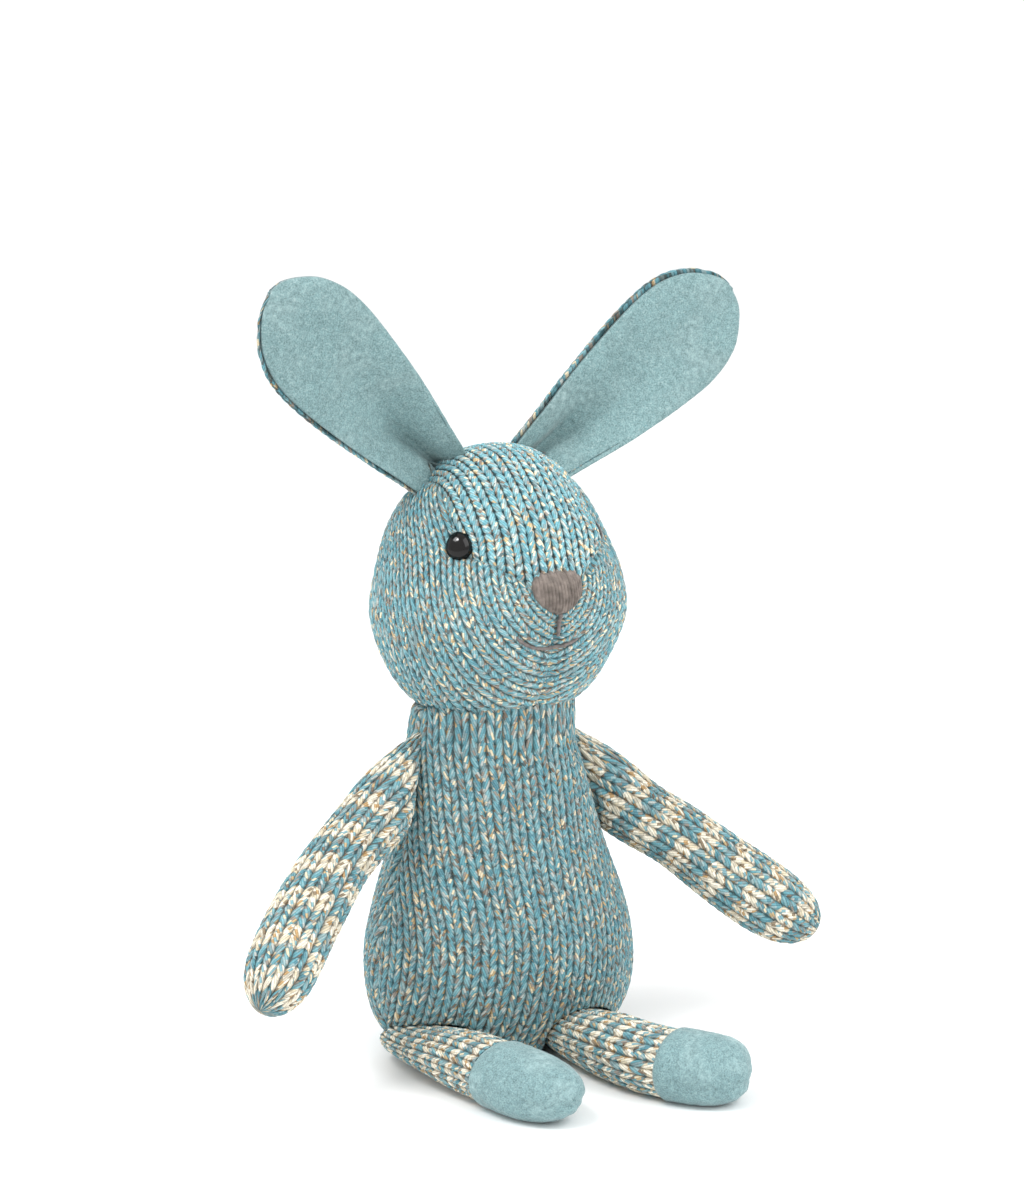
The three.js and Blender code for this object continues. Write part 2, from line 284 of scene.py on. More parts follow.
TEAL = [
    (0.0, (98, 147, 157)), (0.2, (120, 160, 167)), (0.38, (86, 129, 140)), (0.5, (116, 138, 141)),
    (0.64, (140, 164, 166)), (0.74, (136, 130, 122)), (0.8, (168, 174, 170)),
    (0.86, (206, 194, 166)), (0.92, (176, 154, 118)), (0.955, (116, 104, 92)),
    (0.98, (84, 98, 100)),
]
CREAM = [
    (0.0, (213, 206, 188)), (0.3, (226, 220, 204)), (0.5, (202, 191, 166)),
    (0.66, (182, 176, 160)), (0.75, (172, 142, 102)), (0.81, (134, 120, 100)),
    (0.86, (124, 160, 168)),
]


def knit_material(name, seed, stripe=None, light=1.0, gap_shade=(166, 162, 158)):
    """Melange yarn in stitches. stripe is (rows in a repeat, teal rows in it). light scales its
    brightness. Painted shade darkens the yarn towards the colour for the gaps where it sinks
    between stitches.
    """
    g = Nodes(name)
    uv = g.add("ShaderNodeSeparateXYZ", {0: g.add("ShaderNodeUVMap", uv_map="stitch")})
    c = uv.node.outputs[1]
    wale = g.math("ROUND", uv)
    offset = g.math("SUBTRACT", uv, wale)
    x = g.math("MULTIPLY_ADD", g.math("ABSOLUTE", offset), WALE, -YARN_MID[0])
    part = g.math("FRACT", c)

    def yarn(k):
        y = g.math("MULTIPLY_ADD", g.math("SUBTRACT", part, k), COURSE, -YARN_MID[1])
        across = g.math(
            "SUBTRACT", g.math("MULTIPLY", x, YARN_WAY[1]), g.math("MULTIPLY", y, YARN_WAY[0])
        )
        along = g.math(
            "ADD", g.math("MULTIPLY", x, YARN_WAY[0]), g.math("MULTIPLY", y, YARN_WAY[1])
        )
        a = g.math("POWER", g.math("DIVIDE", across, YARN_HALF[0]), 2.0)
        b = g.math("POWER", g.math("DIVIDE", along, YARN_HALF[1]), 2.0)
        return across, along, g.math("SUBTRACT", g.math("SUBTRACT", 1.0, a), b)

    below, here, above = (yarn(float(k))[2] for k in (-1, 0, 1))
    under = g.math("GREATER_THAN", below, g.math("MAXIMUM", here, above))
    over = g.math("GREATER_THAN", above, g.math("MAXIMUM", here, below))
    k = g.math("SUBTRACT", over, under)
    across, along, high = yarn(k)
    height = g.math("SQRT", g.math("MAXIMUM", high, 0.0))
    row = g.math("ADD", g.math("FLOOR", c), k)
    half = g.math("GREATER_THAN", offset, 0.0)
    column = g.math("MULTIPLY_ADD", wale, 2.0, half)
    cell = g.add("ShaderNodeCombineXYZ", {0: column, 1: row, 2: float(seed)})
    chance = g.add("ShaderNodeTexWhiteNoise", {0: cell}, out=0)

    # plies of different colours twist round each other along the yarn
    turn = g.math("MULTIPLY_ADD", along, 1.1, g.math("MULTIPLY", across, 4.6))
    turn = g.math("MULTIPLY_ADD", chance, 6.28, turn)
    ridge = g.math("ABSOLUTE", g.math("SINE", turn))
    ply = g.math("FLOOR", g.math("DIVIDE", turn, math.pi))
    length = g.math("FLOOR", g.math("MULTIPLY_ADD", along, 0.75, g.math("MULTIPLY", ply, 0.71)))
    strand = g.add("ShaderNodeCombineXYZ", {
        0: g.math("MULTIPLY_ADD", ply, 0.37, column), 1: row,
        2: g.math("MULTIPLY_ADD", length, 0.43, float(seed) + 0.5)})
    pick = g.add("ShaderNodeTexWhiteNoise", {0: strand}, out=1)
    picks = g.add("ShaderNodeSeparateColor", {0: pick})
    first, second = picks.node.outputs[:2]
    colour = g.ramp(first, TEAL, "CONSTANT")
    if stripe:
        repeat, teal_rows = stripe
        place = g.math("FLOORED_MODULO", g.math("ADD", row, 0.5), float(repeat))
        cream = g.math("GREATER_THAN", place, float(teal_rows))
        colour = g.mix(cream, colour, g.ramp(second, CREAM, "CONSTANT"))
    patch = g.add("ShaderNodeMapRange", {0: g.noise(55.0, 3.0), 1: 0.3, 2: 0.7, 3: 0.93, 4: 1.06})
    # painted shade: the colour darkens towards the one for the gaps where the yarn sinks between
    # stitches
    depth = g.ramp(height, [(0.0, gap_shade), (0.45, (226, 223, 220)), (0.8, (255, 255, 255))])
    # painted shade in the grooves between the twisted plies: darker where each ply's ridge falls
    # away
    crease = g.math("MULTIPLY_ADD", ridge, 0.42, 0.7)
    fibre = g.add("ShaderNodeMapRange", {0: g.noise(2400.0, 3.0), 1: 0.3, 2: 0.7, 3: 0.84, 4: 1.16})
    total = g.math("MULTIPLY", g.math("MULTIPLY", patch, light), g.math("MULTIPLY", crease, fibre))
    colour = g.mix(1.0, colour, depth, "MULTIPLY")
    colour = g.mix(1.0, colour, g.add("ShaderNodeCombineXYZ", {0: total, 1: total, 2: total}),
                   "MULTIPLY")
    rise = g.math("MULTIPLY_ADD", ridge, 0.35, height)
    normal = g.bump(rise, 0.0005, 0.7)
    normal = g.bump(g.noise(3000.0, 3.0), 0.0003, 0.6, normal)
    return g.finish(colour, normal, 0.95, Sheen_Weight=0.1, Sheen_Roughness=0.5,
                    Specular_IOR_Level=0.1)


def velour_material(name, colour, pale_pile_and_sheen, nap):
    """Short pile that lies this way and that. nap is how much painted sheen lies on it in pale
    patches, where the pile would catch the light.
    """
    g = Nodes(name)
    pile = g.noise(2300.0, 3.0, roughness=0.6)
    tufts = g.noise(620.0, 3.0)
    drift = g.noise(70.0, 3.0)
    base = g.ramp(pile, [(0.28, np.array(colour) * 0.78), (0.5, colour), (0.75, pale_pile_and_sheen)])
    # painted sheen: pale patches, placed by noise, where pile lying one way would catch the light
    painted_nap_sheen = g.math("MULTIPLY", g.math("SUBTRACT", drift, 0.5), g.math("SUBTRACT", tufts, 0.2))
    painted_nap_sheen = g.math("MULTIPLY", painted_nap_sheen, nap, clamp=True)
    base = g.mix(painted_nap_sheen, base, linear(np.minimum(np.array(pale_pile_and_sheen) * 1.18, 250)))
    shade = g.add("ShaderNodeMapRange", {0: tufts, 1: 0.3, 2: 0.7, 3: 0.88, 4: 1.1})
    broad = g.add("ShaderNodeMapRange", {0: drift, 1: 0.3, 2: 0.7, 3: 1.1, 4: 0.9})
    total = g.math("MULTIPLY", shade, broad)
    colour = g.mix(1.0, base, g.add("ShaderNodeCombineXYZ", {0: total, 1: total, 2: total}),
                   "MULTIPLY")
    normal = g.bump(tufts, 0.0005, 0.5)
    normal = g.bump(pile, 0.0003, 0.5, normal)
    return g.finish(colour, normal, 0.95, Sheen_Weight=0.3, Sheen_Roughness=0.35,
                    Sheen_Tint=grey(1.0), Specular_IOR_Level=0.1)


def thread_material(name, dark, pale, scale=900.0):
    g = Nodes(name)
    grain = g.noise(scale, 3.0)
    colour = g.ramp(grain, [(0.3, dark), (0.7, pale)])
    return g.finish(colour, g.bump(grain, 0.0002, 0.6), 0.7, Sheen_Weight=0.1,
                    Specular_IOR_Level=0.35)


def simple_material(name, dark, pale, scale, rough=0.8, depth=0.0003, **sockets):
    """A surface with a fine grain, for what lies inside the toy."""
    g = Nodes(name)
    grain = g.noise(scale, 4.0)
    return g.finish(g.ramp(grain, [(0.3, dark), (0.7, pale)]), g.bump(grain, depth, 0.7), rough,
                    **sockets)


KNIT_BODY = knit_material("knit_body", 3, light=1.08)
# painted light from above: the head's knit is made lighter than the body's, and the brow's lighter
# still, with deeper painted shade in its gaps
KNIT_HEAD_PAINTED_LIGHT = knit_material("knit_head_painted_light", 11, light=1.34)
KNIT_BROW_PAINTED_LIGHT = knit_material("knit_brow_painted_light", 17, light=1.5, gap_shade=(104, 108, 108))
KNIT_EAR = knit_material("knit_ear", 29)
KNIT_ARM = knit_material("knit_arm", 41, stripe=(4, 2), light=1.14)
KNIT_LEG = knit_material("knit_leg", 53, stripe=(2, 1), light=1.1)
EAR_VELOUR = velour_material("velour_ear", (120, 150, 152), (158, 178, 178), 3.0)
FOOT_VELOUR = velour_material("velour_foot", (124, 154, 157), (156, 180, 181), 7.0)
NOSE_THREAD = thread_material("nose_thread", (86, 78, 72), (132, 121, 114), 520.0)
MOUTH_THREAD = thread_material("mouth_thread", (98, 92, 90), (128, 120, 116))
SEAM_THREAD = thread_material("seam_thread", (92, 128, 136), (132, 166, 172))
WASHER_PLASTIC = simple_material("washer_plastic", (214, 214, 210), (232, 232, 230), 240.0, 0.4)


def eye_material():
    g = Nodes("eye_black")
    grain = g.noise(180.0, 2.0)
    colour = g.ramp(grain, [(0.3, (8, 7, 7)), (0.7, (16, 14, 13))])
    rough = g.add("ShaderNodeMapRange", {0: grain, 1: 0.3, 2: 0.7, 3: 0.08, 4: 0.14})
    return g.finish(colour, None, rough, Specular_IOR_Level=0.3)


EYE_BLACK = eye_material()

# ---- body ----
BODY = [[20.05, 0.35], [25, 0.7], [31, 2.4], [36, 6.6], [39.1, 13], [40.4, 22], [39.9, 32],
        [37.3, 42], [34, 52], [31, 62], [28.4, 72], [25.8, 82], [23.8, 88.6], [22.6, 92.6],
        [21.9, 95], [20.7, 96.3], [18.4, 96.2]]
BODY_CORE = np.array([0, 0, 45.0])
# the line down the middle of each leg, from the hip to the toe
LEG_LINE = {-1: [[-29.5, 2, 6], [-33, -14, 7], [-33.5, -34, 8.2], [-31.5, -57, 8.2],
                 [-28, -78.5, 8.2]],
            1: [[19, -5, 5], [10.5, -25, 6.6], [6, -45, 8.4], [8, -64, 8.8], [14.5, -78, 9],
                [24.5, -85.5, 9.4]]}
LEG_WIDTH = {-1: [[0, 0], [0.5, 3.4], [2.4, 7], [6, 9.6], [12, 10.6], [22, 10.5], [34, 10.4],
                  [48, 10.5], [58, 10.8], [68, 10.4], [76, 8.9], [80.6, 6.4], [83, 3], [83.6, 0]],
             1: [[0, 0], [0.5, 3.4], [2.4, 7], [6, 9.8], [12, 10.9], [22, 11], [34, 10.8],
                 [48, 10.8], [58, 11.2], [70, 11], [77, 10.2], [81, 8.2], [83.2, 4.8], [83.8, 0]]}
LEG_THIN = {-1: 0.78, 1: 0.82}
LEG_LENGTH = 83.6
# how flat each leg is pressed, where the body lies on it
LEG_FLAT = [[0, 0.5], [10, 0.56], [24, 0.72], [40, 0.96], [50, 1], [84, 1]]
LEG_ROOM = (1.6, 0.6)  # the body's hollow over a leg is wider and higher than the leg by this


def body_lean(z):
    """How far the body's middle lies off centre in x, at height z: the neck sits to the right."""
    return -2.8 * smooth(z, 36, 92)


def leg_top(x, y):
    """Height of the upper surface of the legs at x, y, or 0 beside them."""
    top = np.zeros_like(x)
    for side in (-1, 1):
        line = through(LEG_LINE[side], 90)
        mid_x, mid_z, along = (np.interp(-y, -line[:, 1], v)
                               for v in (line[:, 0], line[:, 2], lengths(line)))
        half = at([[l, w] for l, w in LEG_WIDTH[side]], along * LEG_LENGTH / lengths(line)[-1])
        half = np.where(y > line[0, 1], 0, half)
        share = 1 - ((x - mid_x) / (half + LEG_ROOM[0])) ** 2
        thick = half * LEG_THIN[side] * at(LEG_FLAT, along * LEG_LENGTH / lengths(line)[-1])
        high = mid_z + thick * np.sqrt(np.maximum(share, 0)) + LEG_ROOM[1]
        top = np.maximum(top, high * (share > 0) * smooth(half, 0, 3))
    return top


def body_panel(front):
    """The body's front, or its back with the seat, as a grid: rows go up, columns go round."""
    profile = through(BODY, 232)
    if not front:
        floor = np.stack([np.linspace(0, 20.05, 9)[:-1], np.full(8, 0.35)], 1)
        profile = np.vstack([floor, profile])
    r, z = profile.T
    depth = 0.8 + 0.08 * smooth(z, 58, 94)
    seam = -16 * smooth(z, 10.5, 1.2)  # where the seam lies in y, near the floor
    turn = np.arcsin(np.clip(seam / (depth * np.maximum(r, 1e-3)), -1, 1))
    columns = 236
    u = np.linspace(0, 1, columns)[None, :]
    if front:
        start, end = -math.pi - turn, turn
        start = np.minimum(start, -math.pi / 2 - 0.01)
        end = np.maximum(end, -math.pi / 2 + 0.01)
    else:
        start, end = turn, math.pi - turn
    angle = start[:, None] + (end - start)[:, None] * u
    p = np.stack(
        [r[:, None] * np.cos(angle), (r * depth)[:, None] * np.sin(angle),
         np.repeat(z[:, None], columns, 1)], -1,
    )
    n = grid_normals(p, BODY_CORE)
    lump = 0.55 * wobble(p, 46, 1) + 0.3 * wobble(p, 24, 5)
    p = p + n * (lump * smooth(p[..., 2], 2, 14) * smooth(p[..., 2], 95, 84))[..., None]
    p[..., 0] += body_lean(p[..., 2])
    # the collar stands highest under the left of the chin
    collar = (1.2 + 2.1 * (1 + np.cos(angle + 1.1))) * smooth(p[..., 2], 85, 95)
    p[..., :2] *= 1 + 0.02 * collar[..., None]
    p[..., 2] += collar
    run = np.concatenate(
        [np.zeros((len(r), 1)), np.cumsum(np.linalg.norm(np.diff(p, axis=1), axis=2), 1)], 1
    )
    side = run - run[:, -1:] / 2
    edge = run[:, -1:] / 2 - np.abs(side)
    if not front:
        edge = np.where(r[:, None] < 20.1, 9.0, edge)
    crease = 0.9 * bell(edge, 1.3) * smooth(p[..., 2], 0.2, 3)
    p = p - n * crease[..., None]
    p[..., 2] = np.maximum(p[..., 2], leg_top(p[..., 0], p[..., 1]))
    lean = 0.16 * np.maximum(46 - z, 0) ** 2 / 46
    up = lengths(profile)
    w = (side * (1 if front else -1) + (lean * (1 if front else -1))[:, None]) / WALE
    c = np.repeat((up / COURSE)[:, None], columns, 1)
    w, c = loosen(w, c, p)
    n = grid_normals(p, BODY_CORE)
    rise = YARN_RISE * smooth(z, 0.3, 2.5)[:, None]
    p = knitted(p, n, w, c, edge, rise)
    p[..., 2] = np.maximum(p[..., 2], 0.05)
    name = "body_front_knit" if front else "body_back_knit"
    return grid_object(name, p, w, c, KNIT_BODY, BODY_CORE)


# ---- head ----
HEAD = [[0, 92.6], [8, 92.9], [14.5, 94.3], [19.2, 96.2], [23.6, 98.7], [27.6, 102.4],
        [31.2, 107.6], [34.2, 113.6], [36.2, 120], [36.8, 125.5], [36, 132], [34.2, 139.5],
        [31.2, 147.5], [26.8, 155.2], [20.4, 162.4], [12.5, 167.6], [6, 169.6], [0, 170]]
HEAD_DEPTH, HEAD_CORE = 0.85, np.array([0, 0, 131.0])
HEAD_SHIFT = Vector((-0.0009, 0, 0))  # the head sits a little to the right of the seat
EYE_AT = {-1: (24.3, 146.4), 1: (26.4, 146.2)}
EYE_SUNK = {-1: 0.2, 1: 1.3}  # how deep each eye is pulled into the head
# half-width of the forehead gusset against the angle from the nose, up over the crown, to the nape
GUSSET = [[0, 5.6], [8, 8.6], [20, 16.2], [32, 22.4], [40, 24.6], [50, 24.4], [70, 22.3],
          [97, 20.8], [130, 20.4], [170, 19], [200, 15], [232, 9]]
NAPE = 232
BROW_STITCH, CHEEK_STITCH = (4.7, 2.75), (3.5, 2.4)  # width and height of a stitch there
SMILE = [[-12.8, 121.6], [-10.2, 119.5], [-6.6, 117.7], [-2.2, 116.8], [2.1, 116.9],
         [5.9, 118.1], [8.2, 119.4]]

_curve = through(HEAD, 600)
_tilt = np.arctan2(_curve[:, 0], _curve[:, 1] - HEAD_CORE[2])
_reach = np.hypot(_curve[:, 0], _curve[:, 1] - HEAD_CORE[2])
_order = np.argsort(_tilt)


def head_cast(way):
    """Where a ray from the middle of the head along way meets the head's plain form."""
    flat = np.hypot(way[..., 0], way[..., 1] / HEAD_DEPTH)
    tilt = np.arctan2(flat, way[..., 2])
    reach = np.interp(tilt, _tilt[_order], _reach[_order])
    return HEAD_CORE + way * (reach / np.hypot(flat, way[..., 2]))[..., None]


def face_features(p):
    """How far the face stands out from the plain form at p."""
    out = 0.45 * wobble(p, 40, 3) + 0.25 * wobble(p, 21, 6)
    for _, side in SIDES:
        eye = np.array([side * EYE_AT[side][0], -18.3 if side < 0 else -15.6, EYE_AT[side][1]])
        out -= 3.4 * bell(np.linalg.norm(p - eye, axis=-1), 6.6)
        brow = np.array([side * 22, -12, 156.0])
        out += (1.0 if side < 0 else -0.9) * bell(np.linalg.norm(p - brow, axis=-1), 9)
        cheek = np.array([side * 24, -22, 122.0])
        out += 1.0 * bell(np.linalg.norm(p - cheek, axis=-1), 15)
        ear = np.array([side * 21.5, 3, 164.0])
        out -= 1.0 * bell(np.linalg.norm(p - ear, axis=-1), 7)
    out += 1.3 * bell(np.linalg.norm(p - [18.5, -23.5, 147.5], axis=-1), 5.5)
    front = smooth(-p[..., 1], 18, 24)
    chin = np.linalg.norm(p - [0, -28, 113.5], axis=-1)
    out -= 1.5 * bell(chin, 9)
    muzzle = np.linalg.norm((p - [0, -30, 126]) / [1.25, 1, 1], axis=-1)
    out += 1.1 * bell(muzzle, 11)
    smile = at(SMILE, np.clip(p[..., 0], -14.4, 9.6))
    reach = smooth(np.abs(p[..., 0] + 2.4), 14, 10)
    out -= 0.9 * bell(p[..., 2] - smile, 1.5) * reach * front
    below_nose = smooth(p[..., 2], 127, 125) * smooth(p[..., 2], 116, 118)
    out -= 0.7 * bell(p[..., 0], 1.4) * below_nose * front
    return out


def head_surface(way):
    """Points and outward normals of the head along the rays way."""
    way = unit(way)
    spare = np.where(np.abs(way[..., :1]) < 0.8, [1.0, 0, 0], [0, 1.0, 0])
    a = unit(np.cross(way, spare))
    b = np.cross(way, a)

    def point(ray):
        p = head_cast(unit(ray))
        return p + unit(p - HEAD_CORE) * face_features(p)[..., None]

    p = point(way)
    n = unit(np.cross(point(way + a * 0.01) - p, point(way + b * 0.01) - p))
    outward = np.sum(n * way, axis=-1, keepdims=True)
    return p, np.where(outward > 0, n, -n)


def rays(alpha, phi, side):
    """Rays at angle alpha from the side's axis, turned phi from the nose up over the crown."""
    return np.stack(
        [side * np.cos(alpha), -np.sin(alpha) * np.cos(phi), np.sin(alpha) * np.sin(phi)], -1
    )


def seam_angle(phi):
    """Angle from the side's axis to the forehead gusset's seam, or to the middle seam below it."""
    degrees = np.mod(np.degrees(phi) + 8, 360) - 8
    width = np.where(degrees > NAPE, 0, at(GUSSET, np.clip(degrees, 0, NAPE)))
    width = width * smooth(degrees, -7, 1) * smooth(degrees, NAPE + 3, NAPE - 1)
    low, high = np.full_like(width, 0.2), np.full_like(width, math.pi / 2)
    for _ in range(30):
        middle = (low + high) / 2
        wide = head_cast(rays(middle, phi, 1))[..., 0] > width
        low, high = np.where(wide, middle, low), np.where(wide, high, middle)
    return (low + high) / 2


def crease_in(p, n, edge):
    return p - n * (0.95 * bell(edge, 1.3))[..., None]


def head_gusset():
    phi = np.radians(np.linspace(0, NAPE, 400))
    u = np.linspace(-1, 1, 148)
    half = math.pi / 2 - seam_angle(phi)
    alpha = math.pi / 2 - half[:, None] * u[None, :]
    p, n = head_surface(rays(alpha, np.repeat(phi[:, None], len(u), 1), 1))
    run = np.concatenate(
        [np.zeros((len(phi), 1)), np.cumsum(np.linalg.norm(np.diff(p, axis=1), axis=2), 1)], 1
    )
    side = run - run[:, -1:] / 2
    edge = run[:, -1:] / 2 - np.abs(side)
    w = side / BROW_STITCH[0]
    up = lengths(p[:, len(u) // 2])
    c = np.repeat((up / BROW_STITCH[1])[:, None], len(u), 1)
    w, c = loosen(w, c, p)
    p = knitted(crease_in(p, n, edge), n, w, c, edge)
    return grid_object("head_gusset_knit", p, w, c, KNIT_BROW_PAINTED_LIGHT, HEAD_CORE)


def head_cheek(name, side):
    """A cheek as a square grid bent into a disc whose rim is the seam."""
    line = np.linspace(-1, 1, 236)
    a, b = np.meshgrid(line, line)
    wide = np.abs(a) > np.abs(b)
    r = np.where(wide, np.abs(a), np.abs(b))
    turn = np.where(
        wide, np.where(a > 0, 0, math.pi) + math.pi / 4 * b / np.where(a == 0, 1, a),
        np.where(b > 0, 1, 3) * math.pi / 2 - math.pi / 4 * a / np.where(b == 0, 1, b),
    )
    rim = seam_angle(turn)
    p, n = head_surface(rays(r * rim, turn, side))
    edge = (1 - r) * rim * np.linalg.norm(p - HEAD_CORE, axis=-1)
    x, y, z = (p[..., k] for k in range(3))
    round_z = np.interp(z, _curve[:, 1], _curve[:, 0])
    angle = np.arctan2(np.abs(x), -y / HEAD_DEPTH)
    s = angle * round_z * 0.93
    low = np.maximum(138 - z, 0)
    around = np.hypot(s + 6, low)
    w = (around - 6) / CHEEK_STITCH[0]
    fan = np.arctan2(low, s + 6)
    c = np.where(z > 138, (z - 138) / CHEEK_STITCH[1],
                 -fan * (16 + 0.4 * around) / 2.5)
    w, c = loosen(w, c, p)
    p = knitted(crease_in(p, n, edge), n, w, c, edge)
    return grid_object(f"head_{name}_knit", p, w, c, KNIT_HEAD_PAINTED_LIGHT, HEAD_CORE)


def on_face(x, z, proud=0.0):
    """A point on the front of the head and the normal there."""
    r = np.interp(z, _curve[:, 1], _curve[:, 0])
    plain = np.array([x, -HEAD_DEPTH * math.sqrt(max(r * r - x * x, 0)), z])
    p, n = head_surface((plain - HEAD_CORE)[None])
    return p[0] + n[0] * proud, n[0]


def eye(name, side):
    """A shiny dome, a little taller than wide, on a shank that holds it in the head."""
    x, z = EYE_AT[side]
    place, _ = on_face(side * x, z)
    n = unit([side * 0.651, -0.667, 0.362])
    place = place - n * EYE_SUNK[side]
    up = unit(np.array([side * 0.16, 0, 1.0]) - n * np.dot(n, [side * 0.16, 0, 1.0]))
    right = np.cross(up, n)
    profile = through([[0, -5], [1.1, -4.9], [1.15, -1.2], [3.0, -0.6], [3.75, 0.1], [3.8, 0.8],
                       [3.3, 2.0], [2.2, 2.9], [1, 3.25], [0, 3.3]], 60)
    turn = np.linspace(0, 2 * math.pi, 65)
    r, h = profile[:, :1], profile[:, 1:]
    taper = 1 + 0.09 * np.sin(turn)
    p = (place + (r * np.cos(turn) * 0.96)[..., None] * right
         + (r * np.sin(turn) * 1.06 * taper)[..., None] * up + (h + 0 * turn)[..., None] * n)
    dome = grid_object(f"eye_{name}_dome", p, turn + 0 * r, h + 0 * turn, EYE_BLACK)

    # the washer that locks the shank inside the head
    r, h = np.array([[1.5, -4.1], [3.7, -4.1], [4, -3.9], [4, -3.4], [3.7, -3.2], [1.5, -3.2],
                     [1.4, -3.6], [1.5, -4.1]]).T[:, :, None]
    p = (place + (r * np.cos(turn))[..., None] * right + (r * np.sin(turn))[..., None] * up
         + (h + 0 * turn)[..., None] * n)
    ring = grid_object(f"eye_{name}_lock_washer", p, turn + 0 * r, h + 0 * turn, WASHER_PLASTIC)
    return dome, ring


def nose():
    """Satin stitches, side by side and nearly upright, over a raised pad."""
    outline = through([[-7.8, 134.2], [-7.2, 136.6], [-4.6, 138.2], [0, 138.5], [4.6, 138.2],
                       [7.2, 136.6], [7.8, 134.2]], 90)
    lower = through([[-7.8, 134.2], [-6.9, 131.2], [-4.2, 128.2], [0, 126.8], [4.2, 128.2],
                     [6.9, 131.2], [7.8, 134.2]], 90)
    x = np.linspace(-7.8, 7.8, 185)
    top, low = np.interp(x, *outline.T), np.interp(x, *lower.T)
    u = np.linspace(0, 1, 44)[:, None]
    strand = (x + 7.8) / 15.6 * 17
    ragged = 0.28 * np.sin(np.floor(strand) * 2.4)
    z = low + 0.12 + ragged * 0.5 + (top - low - 0.24 + 0.5 * ragged) * u
    xs = np.repeat(x[None], 44, 0)
    r = np.interp(z, _curve[:, 1], _curve[:, 0])
    plain = np.stack([xs, -HEAD_DEPTH * np.sqrt(r * r - xs * xs), z], -1)
    p, n = head_surface(plain - HEAD_CORE)
    inside = np.minimum(np.abs(np.abs(x) - 7.8)[None] * 0.9, np.minimum(u, 1 - u) * (top - low))
    pad = 2.5 * np.sqrt(np.clip(inside / 4.2, 0, 1)) - 0.2
    ridge = 0.42 * np.abs(np.sin(math.pi * (strand[None] + 0.25 * (u - 0.5)))) ** 0.7
    p = p + n * (pad + ridge * np.clip(inside / 0.6, 0, 1))[..., None]
    return grid_object("nose_satin_stitch", p, np.repeat(strand[None], 44, 0), z, NOSE_THREAD,
                       np.array([0, -28.5, 132.5]))


def thread(name, path, radius, material, pitch=2.2, plies=2):
    """A twisted thread along path, closed at both ends."""
    p = through(path, max(24, int(lengths(np.array(path, float))[-1] * 7)))
    way = unit(np.gradient(p, axis=0))
    spare = np.array([0.0, 1, 0]) if abs(way[0, 1]) < 0.8 else np.array([1.0, 0, 0])
    a = unit(np.cross(way, spare))
    b = np.cross(way, a)
    turn = np.linspace(0, 2 * math.pi, 17)
    run = lengths(p)[:, None]
    lobe = 1 + 0.16 * np.cos(plies * (turn[None] - run * 2 * math.pi / pitch / plies))
    ends = np.clip(np.minimum(run, run[-1] - run) / radius, 0.02, 1) ** 0.5
    r = radius * lobe * ends
    q = (p[:, None] + (r * np.cos(turn))[..., None] * a[:, None]
         + (r * np.sin(turn))[..., None] * b[:, None])
    q[:, -1] = q[:, 0]
    q = np.concatenate([np.repeat(p[:1, None], 17, 1), q, np.repeat(p[-1:, None], 17, 1)])
    flat = np.zeros(q.shape[:2])
    return grid_object(name, q, flat, flat, material)


def mouth():
    smile = [on_face(x, z, 0.25)[0] for x, z in through(SMILE, 15)]
    smile[0] -= unit(smile[0] - HEAD_CORE) * 0.9
    smile[-1] -= unit(smile[-1] - HEAD_CORE) * 0.9
    philtrum = [on_face(0.1 * math.sin(z), z, 0.3)[0] for z in np.linspace(127.2, 120.4, 7)]
    return (thread("smile_thread", smile, 0.5, MOUTH_THREAD),
            thread("philtrum_thread", philtrum, 0.55, MOUTH_THREAD))


# ---- ears ----
# half-width against the distance from the base; the part below 0 is inside the head
EAR_WIDTH = [[-9, 6.8], [-5, 8], [-1, 8.8], [3, 9.5], [8, 10.4], [20, 12.8], [31, 14.6],
             [43, 16.1], [52, 16.5], [59, 15.6], [65.5, 12.9], [70.3, 8.8], [73.4, 4.6],
             [74.4, 0]]
EAR_BASE = {-1: [-19.6, 4, 165.2], 1: [17.4, 4, 165.4]}
EAR_AXIS = {-1: [-0.73, -0.125, 0.67], 1: [0.797, -0.11, 0.594]}
EAR_TWIST = {-1: 6, 1: -13}  # degrees that each ear's face is turned outward


